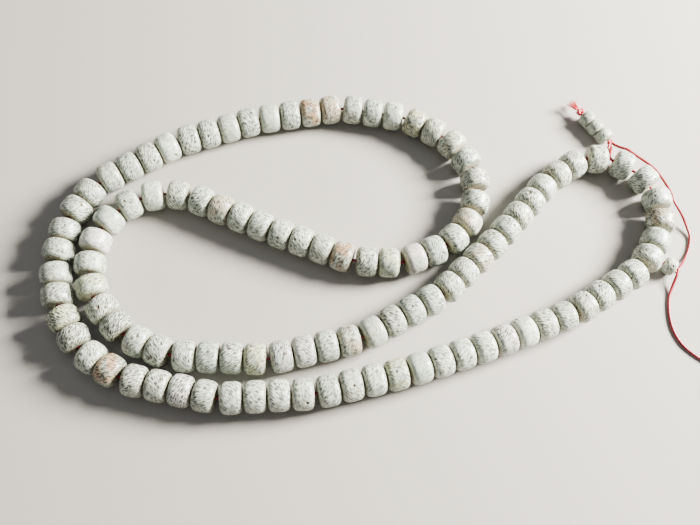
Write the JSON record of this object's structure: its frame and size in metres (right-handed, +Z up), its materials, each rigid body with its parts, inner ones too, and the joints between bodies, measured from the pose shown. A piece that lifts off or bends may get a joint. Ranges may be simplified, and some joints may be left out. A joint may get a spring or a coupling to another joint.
{
  "type": "mala prayer beads",
  "caption": "Closed strand of barrel-shaped seed prayer beads lying flat in folds, with small guru beads at its head and a loose red cord tail.",
  "frame": {"origin": "on the surface it lies on, under the middle of the outline of the beads and guru cord", "axes": "+X along the longer side of the folded strand, towards the guru beads; +Y across it; +Z up"},
  "size_m": [0.2228, 0.1148, 0.01],
  "materials": {
    "seed_bead": "satin",
    "small_bead": "satin",
    "cord": "satin",
    "knot": "satin",
    "tie": "matte"
  },
  "bodies": {
    "strand": {"loop_cord": "cord", "head_knot": "knot", "tail_cord": "cord", "counter_cord": "cord", "tail_coil": "cord", "coil_tie": "tie", "tail_knot": "knot"},
    "head_bead": {"head_bead": "seed_bead"},
    "guru_pendant": {"guru_cord": "cord", "end_knot": "knot"},
    "guru_bead_01": {"guru_bead_01": "small_bead"},
    "guru_bead_02": {"guru_bead_02": "small_bead"},
    "guru_bead_03": {"guru_bead_03": "small_bead"},
    "counter_bead": {"counter_bead": "small_bead"},
    "beads_01": {"beads_01": "seed_bead"},
    "beads_02": {"beads_02": "seed_bead"},
    "beads_03": {"beads_03": "seed_bead"},
    "beads_04": {"beads_04": "seed_bead"},
    "beads_05": {"beads_05": "seed_bead"},
    "beads_06": {"beads_06": "seed_bead"},
    "beads_07": {"beads_07": "seed_bead"},
    "beads_08": {"beads_08": "seed_bead"},
    "beads_09": {"beads_09": "seed_bead"},
    "beads_10": {"beads_10": "seed_bead"},
    "beads_11": {"beads_11": "seed_bead"},
    "beads_12": {"beads_12": "seed_bead"},
    "beads_13": {"beads_13": "seed_bead"},
    "beads_14": {"beads_14": "seed_bead"},
    "beads_15": {"beads_15": "seed_bead"},
    "beads_16": {"beads_16": "seed_bead"},
    "beads_17": {"beads_17": "seed_bead"},
    "beads_18": {"beads_18": "seed_bead"},
    "beads_19": {"beads_19": "seed_bead"},
    "beads_20": {"beads_20": "seed_bead"},
    "beads_21": {"beads_21": "seed_bead"},
    "beads_22": {"beads_22": "seed_bead"},
    "beads_23": {"beads_23": "seed_bead"},
    "beads_24": {"beads_24": "seed_bead"},
    "beads_25": {"beads_25": "seed_bead"},
    "beads_26": {"beads_26": "seed_bead"},
    "beads_27": {"beads_27": "seed_bead"},
    "beads_28": {"beads_28": "seed_bead"},
    "beads_29": {"beads_29": "seed_bead"},
    "beads_30": {"beads_30": "seed_bead"},
    "beads_31": {"beads_31": "seed_bead"},
    "beads_32": {"beads_32": "seed_bead"},
    "beads_33": {"beads_33": "seed_bead"},
    "beads_34": {"beads_34": "seed_bead"},
    "beads_35": {"beads_35": "seed_bead"},
    "beads_36": {"beads_36": "seed_bead"},
    "beads_37": {"beads_37": "seed_bead"},
    "beads_38": {"beads_38": "seed_bead"},
    "beads_39": {"beads_39": "seed_bead"},
    "beads_40": {"beads_40": "seed_bead"},
    "beads_41": {"beads_41": "seed_bead"},
    "beads_42": {"beads_42": "seed_bead"},
    "beads_43": {"beads_43": "seed_bead"},
    "beads_44": {"beads_44": "seed_bead"},
    "beads_45": {"beads_45": "seed_bead"},
    "beads_46": {"beads_46": "seed_bead"}
  },
  "joints": [
    {"name": "head_bead_spin", "type": "hinge", "parent": "strand", "child": "head_bead", "pos_m": [0.08024, 0.0321, 0.005], "axis": [1, -0.0016, 0], "continuous": true},
    {"name": "guru_lift", "type": "hinge", "parent": "strand", "child": "guru_pendant", "pos_m": [0.08719, 0.04022, 0.003], "axis": [0.809, 0.5878, 0], "range_deg": [0, 80]},
    {"name": "guru_bead_01_spin", "type": "hinge", "parent": "guru_pendant", "child": "guru_bead_01", "pos_m": [0.08522, 0.04294, 0.003], "axis": [-0.5878, 0.809, 0], "continuous": true},
    {"name": "guru_bead_02_spin", "type": "hinge", "parent": "guru_pendant", "child": "guru_bead_02", "pos_m": [0.08268, 0.04643, 0.003], "axis": [-0.5878, 0.809, 0], "continuous": true},
    {"name": "guru_bead_03_spin", "type": "hinge", "parent": "guru_pendant", "child": "guru_bead_03", "pos_m": [0.08014, 0.04993, 0.003], "axis": [-0.5878, 0.809, 0], "continuous": true},
    {"name": "counter_bead_spin", "type": "hinge", "parent": "strand", "child": "counter_bead", "pos_m": [0.10031, -0.00748, 0.003], "axis": [0.829, -0.5592, 0], "continuous": true},
    {"name": "beads_01_spin", "type": "hinge", "parent": "strand", "child": "beads_01", "pos_m": [0.08922, 0.02979, 0.005], "axis": [0.8739, -0.4861, 0], "continuous": true},
    {"name": "beads_02_spin", "type": "hinge", "parent": "strand", "child": "beads_02", "pos_m": [0.09579, 0.02418, 0.005], "axis": [0.6062, -0.7953, 0], "continuous": true},
    {"name": "beads_03_spin", "type": "hinge", "parent": "strand", "child": "beads_03", "pos_m": [0.09919, 0.01627, 0.005], "axis": [0.1636, -0.9865, 0], "continuous": true},
    {"name": "beads_04_spin", "type": "hinge", "parent": "strand", "child": "beads_04", "pos_m": [0.09904, 0.0081, 0.005], "axis": [-0.2074, -0.9782, 0], "continuous": true},
    {"name": "beads_05_spin", "type": "hinge", "parent": "strand", "child": "beads_05", "pos_m": [0.09604, 0.00065, 0.005], "axis": [-0.5261, -0.8504, 0], "continuous": true},
    {"name": "beads_06_spin", "type": "hinge", "parent": "strand", "child": "beads_06", "pos_m": [0.08632, -0.01141, 0.005], "axis": [-0.8479, -0.5302, 0], "continuous": true},
    {"name": "beads_07_spin", "type": "hinge", "parent": "strand", "child": "beads_07", "pos_m": [0.06123, -0.02626, 0.005], "axis": [-0.9315, -0.3637, 0], "continuous": true},
    {"name": "beads_08_spin", "type": "hinge", "parent": "strand", "child": "beads_08", "pos_m": [0.03466, -0.03642, 0.005], "axis": [-0.9497, -0.3131, 0], "continuous": true},
    {"name": "beads_09_spin", "type": "hinge", "parent": "strand", "child": "beads_09", "pos_m": [0.00726, -0.04513, 0.005], "axis": [-0.9728, -0.2317, 0], "continuous": true},
    {"name": "beads_10_spin", "type": "hinge", "parent": "strand", "child": "beads_10", "pos_m": [-0.02111, -0.05118, 0.005], "axis": [-0.9985, -0.0549, 0], "continuous": true},
    {"name": "beads_11_spin", "type": "hinge", "parent": "strand", "child": "beads_11", "pos_m": [-0.05036, -0.05173, 0.005], "axis": [-0.9776, 0.2106, 0], "continuous": true},
    {"name": "beads_12_spin", "type": "hinge", "parent": "strand", "child": "beads_12", "pos_m": [-0.07887, -0.04406, 0.005], "axis": [-0.835, 0.5503, 0], "continuous": true},
    {"name": "beads_13_spin", "type": "hinge", "parent": "strand", "child": "beads_13", "pos_m": [-0.09065, -0.03419, 0.005], "axis": [-0.5347, 0.845, 0], "continuous": true},
    {"name": "beads_14_spin", "type": "hinge", "parent": "strand", "child": "beads_14", "pos_m": [-0.09754, -0.02055, 0.005], "axis": [-0.2001, 0.9798, 0], "continuous": true},
    {"name": "beads_15_spin", "type": "hinge", "parent": "strand", "child": "beads_15", "pos_m": [-0.09922, -0.00548, 0.005], "axis": [0.1369, 0.9906, 0], "continuous": true},
    {"name": "beads_16_spin", "type": "hinge", "parent": "strand", "child": "beads_16", "pos_m": [-0.09559, 0.00936, 0.005], "axis": [0.4995, 0.8663, 0], "continuous": true},
    {"name": "beads_17_spin", "type": "hinge", "parent": "strand", "child": "beads_17", "pos_m": [-0.08625, 0.0216, 0.005], "axis": [0.8379, 0.5459, 0], "continuous": true},
    {"name": "beads_18_spin", "type": "hinge", "parent": "strand", "child": "beads_18", "pos_m": [-0.06127, 0.03682, 0.005], "axis": [0.9402, 0.3407, 0], "continuous": true},
    {"name": "beads_19_spin", "type": "hinge", "parent": "strand", "child": "beads_19", "pos_m": [-0.03412, 0.04603, 0.005], "axis": [0.9817, 0.1905, 0], "continuous": true},
    {"name": "beads_20_spin", "type": "hinge", "parent": "strand", "child": "beads_20", "pos_m": [-0.00488, 0.05029, 0.005], "axis": [0.9884, -0.1516, 0], "continuous": true},
    {"name": "beads_21_spin", "type": "hinge", "parent": "strand", "child": "beads_21", "pos_m": [0.01697, 0.04542, 0.005], "axis": [0.8687, -0.4953, 0], "continuous": true},
    {"name": "beads_22_spin", "type": "hinge", "parent": "strand", "child": "beads_22", "pos_m": [0.02952, 0.0368, 0.005], "axis": [0.6691, -0.7432, 0], "continuous": true},
    {"name": "beads_23_spin", "type": "hinge", "parent": "strand", "child": "beads_23", "pos_m": [0.03398, 0.03032, 0.005], "axis": [0.4566, -0.8897, 0], "continuous": true},
    {"name": "beads_24_spin", "type": "hinge", "parent": "strand", "child": "beads_24", "pos_m": [0.03643, 0.02246, 0.005], "axis": [0.1322, -0.9912, 0], "continuous": true},
    {"name": "beads_25_spin", "type": "hinge", "parent": "strand", "child": "beads_25", "pos_m": [0.0359, 0.01409, 0.005], "axis": [-0.2585, -0.966, 0], "continuous": true},
    {"name": "beads_26_spin", "type": "hinge", "parent": "strand", "child": "beads_26", "pos_m": [0.03269, 0.00672, 0.005], "axis": [-0.5319, -0.8468, 0], "continuous": true},
    {"name": "beads_27_spin", "type": "hinge", "parent": "strand", "child": "beads_27", "pos_m": [0.02779, 0.00067, 0.005], "axis": [-0.72, -0.6939, 0], "continuous": true},
    {"name": "beads_28_spin", "type": "hinge", "parent": "strand", "child": "beads_28", "pos_m": [0.02095, -0.0038, 0.005], "axis": [-0.9225, -0.3859, 0], "continuous": true},
    {"name": "beads_29_spin", "type": "hinge", "parent": "strand", "child": "beads_29", "pos_m": [0.00597, -0.0081, 0.005], "axis": [-0.9991, 0.0416, 0], "continuous": true},
    {"name": "beads_30_spin", "type": "hinge", "parent": "strand", "child": "beads_30", "pos_m": [-0.00905, -0.00614, 0.005], "axis": [-0.9317, 0.3633, 0], "continuous": true},
    {"name": "beads_31_spin", "type": "hinge", "parent": "strand", "child": "beads_31", "pos_m": [-0.03573, 0.00444, 0.005], "axis": [-0.9147, 0.4041, 0], "continuous": true},
    {"name": "beads_32_spin", "type": "hinge", "parent": "strand", "child": "beads_32", "pos_m": [-0.06309, 0.01528, 0.005], "axis": [-0.9913, 0.1317, 0], "continuous": true},
    {"name": "beads_33_spin", "type": "hinge", "parent": "strand", "child": "beads_33", "pos_m": [-0.07135, 0.01485, 0.005], "axis": [-0.9722, -0.2341, 0], "continuous": true},
    {"name": "beads_34_spin", "type": "hinge", "parent": "strand", "child": "beads_34", "pos_m": [-0.0789, 0.01148, 0.005], "axis": [-0.823, -0.568, 0], "continuous": true},
    {"name": "beads_35_spin", "type": "hinge", "parent": "strand", "child": "beads_35", "pos_m": [-0.08472, 0.00559, 0.005], "axis": [-0.5595, -0.8289, 0], "continuous": true},
    {"name": "beads_36_spin", "type": "hinge", "parent": "strand", "child": "beads_36", "pos_m": [-0.08808, -0.00192, 0.005], "axis": [-0.242, -0.9703, 0], "continuous": true},
    {"name": "beads_37_spin", "type": "hinge", "parent": "strand", "child": "beads_37", "pos_m": [-0.08888, -0.00988, 0.005], "axis": [0.0432, -0.9991, 0], "continuous": true},
    {"name": "beads_38_spin", "type": "hinge", "parent": "strand", "child": "beads_38", "pos_m": [-0.08742, -0.01769, 0.005], "axis": [0.3221, -0.9467, 0], "continuous": true},
    {"name": "beads_39_spin", "type": "hinge", "parent": "strand", "child": "beads_39", "pos_m": [-0.08325, -0.02482, 0.005], "axis": [0.6646, -0.7472, 0], "continuous": true},
    {"name": "beads_40_spin", "type": "hinge", "parent": "strand", "child": "beads_40", "pos_m": [-0.07162, -0.03512, 0.005], "axis": [0.921, -0.3896, 0], "continuous": true},
    {"name": "beads_41_spin", "type": "hinge", "parent": "strand", "child": "beads_41", "pos_m": [-0.0571, -0.03963, 0.005], "axis": [0.9995, -0.0309, 0], "continuous": true},
    {"name": "beads_42_spin", "type": "hinge", "parent": "strand", "child": "beads_42", "pos_m": [-0.02789, -0.03949, 0.005], "axis": [0.9724, 0.2334, 0], "continuous": true},
    {"name": "beads_43_spin", "type": "hinge", "parent": "strand", "child": "beads_43", "pos_m": [0.00022, -0.03161, 0.005], "axis": [0.8709, 0.4914, 0], "continuous": true},
    {"name": "beads_44_spin", "type": "hinge", "parent": "strand", "child": "beads_44", "pos_m": [0.02528, -0.01628, 0.005], "axis": [0.7118, 0.7023, 0], "continuous": true},
    {"name": "beads_45_spin", "type": "hinge", "parent": "strand", "child": "beads_45", "pos_m": [0.04549, 0.00405, 0.005], "axis": [0.6584, 0.7527, 0], "continuous": true},
    {"name": "beads_46_spin", "type": "hinge", "parent": "strand", "child": "beads_46", "pos_m": [0.06543, 0.02535, 0.005], "axis": [0.8225, 0.5687, 0], "continuous": true}
  ]
}
